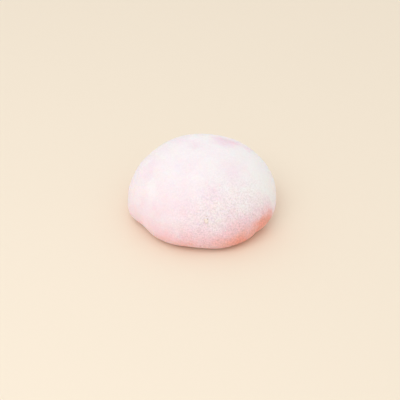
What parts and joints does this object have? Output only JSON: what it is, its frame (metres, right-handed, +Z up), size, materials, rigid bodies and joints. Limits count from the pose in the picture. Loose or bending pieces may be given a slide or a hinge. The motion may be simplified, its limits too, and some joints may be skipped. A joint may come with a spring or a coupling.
{
  "type": "mochi rice cake",
  "caption": "Whole, uncut daifuku-style mochi: a soft, starch-dusted pale pink dome of rice dough with a tucked-under hem and a flat foot.",
  "frame": {"origin": "middle of the cake's outline, on the surface that it rests on", "axes": "+Z up out of the surface, -Y towards the side that is seen, +X to that side's right"},
  "size_m": [0.062, 0.0618, 0.0313],
  "materials": {
    "floured_dough": "matte, slightly translucent pale pink rice dough under a fine white starch dusting"
  },
  "bodies": {
    "root": {"mochi": "floured_dough"}
  },
  "joints": []
}
